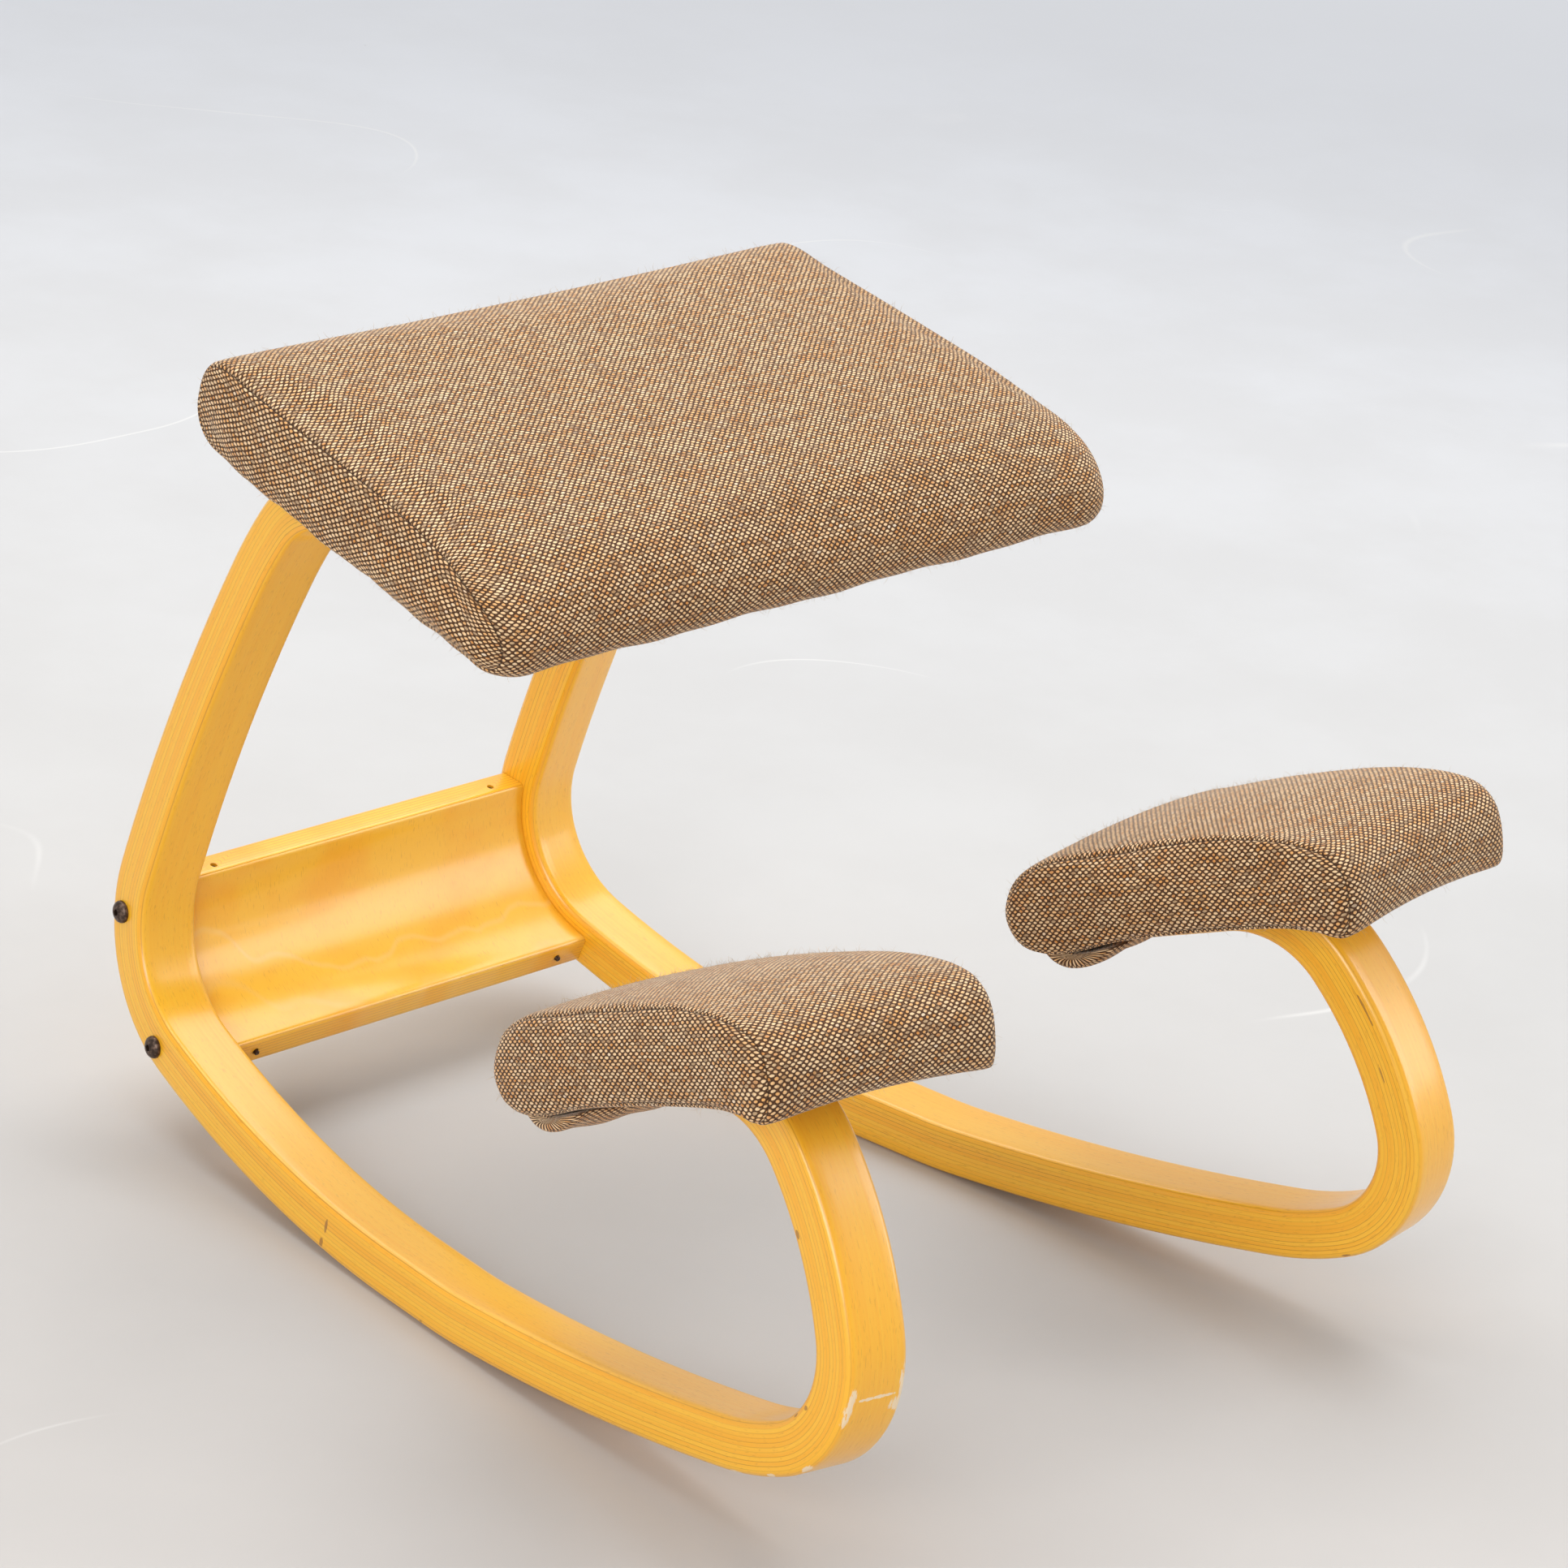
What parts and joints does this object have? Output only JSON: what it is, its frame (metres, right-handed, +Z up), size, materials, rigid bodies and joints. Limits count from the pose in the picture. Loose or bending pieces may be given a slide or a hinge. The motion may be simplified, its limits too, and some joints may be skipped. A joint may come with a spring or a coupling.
{
  "type": "kneeling chair",
  "caption": "Rocking kneeling chair: two bent laminated wood runners joined by a curved cross panel, with a sloping tweed seat and arched tweed knee pads.",
  "frame": {"origin": "on the floor, under the middle of the chair's box", "axes": "+Z up, +Y towards the rear of the chair, so a sitter faces -Y; +X to the right-hand side when looking along +Y from the front"},
  "size_m": [0.5894, 0.6578, 0.4903],
  "materials": {
    "lacquered_beech": "satin",
    "panel_plywood": "satin",
    "seat_plywood": "matte",
    "pad_shell_plywood": "matte",
    "foam": "matte",
    "tweed": "matte",
    "dust_cloth": "matte",
    "bronzed_steel": "satin",
    "zinc_steel": "satin"
  },
  "bodies": {
    "root": {"cross_panel": "panel_plywood", "left_front_pad_bolt": "bronzed_steel", "left_front_pad_tee_nut": "zinc_steel", "left_front_seat_bolt": "bronzed_steel", "left_front_seat_tee_nut": "zinc_steel", "left_lower_locking_pin": "bronzed_steel", "left_lower_panel_bolt": "bronzed_steel", "left_lower_panel_sleeve": "zinc_steel", "left_pad_cover": "tweed", "left_pad_foam": "foam", "left_pad_shell": "pad_shell_plywood", "left_rear_pad_bolt": "bronzed_steel", "left_rear_pad_tee_nut": "zinc_steel", "left_rear_seat_bolt": "bronzed_steel", "left_rear_seat_tee_nut": "zinc_steel", "left_runner": "lacquered_beech", "left_upper_locking_pin": "bronzed_steel", "left_upper_panel_bolt": "bronzed_steel", "left_upper_panel_sleeve": "zinc_steel", "right_front_pad_bolt": "bronzed_steel", "right_front_pad_tee_nut": "zinc_steel", "right_front_seat_bolt": "bronzed_steel", "right_front_seat_tee_nut": "zinc_steel", "right_lower_locking_pin": "bronzed_steel", "right_lower_panel_bolt": "bronzed_steel", "right_lower_panel_sleeve": "zinc_steel", "right_pad_cover": "tweed", "right_pad_foam": "foam", "right_pad_shell": "pad_shell_plywood", "right_rear_pad_bolt": "bronzed_steel", "right_rear_pad_tee_nut": "zinc_steel", "right_rear_seat_bolt": "bronzed_steel", "right_rear_seat_tee_nut": "zinc_steel", "right_runner": "lacquered_beech", "right_upper_locking_pin": "bronzed_steel", "right_upper_panel_bolt": "bronzed_steel", "right_upper_panel_sleeve": "zinc_steel", "seat_board": "seat_plywood", "seat_cover": "tweed", "seat_dust_cloth": "dust_cloth", "seat_foam": "foam"}
  },
  "joints": []
}
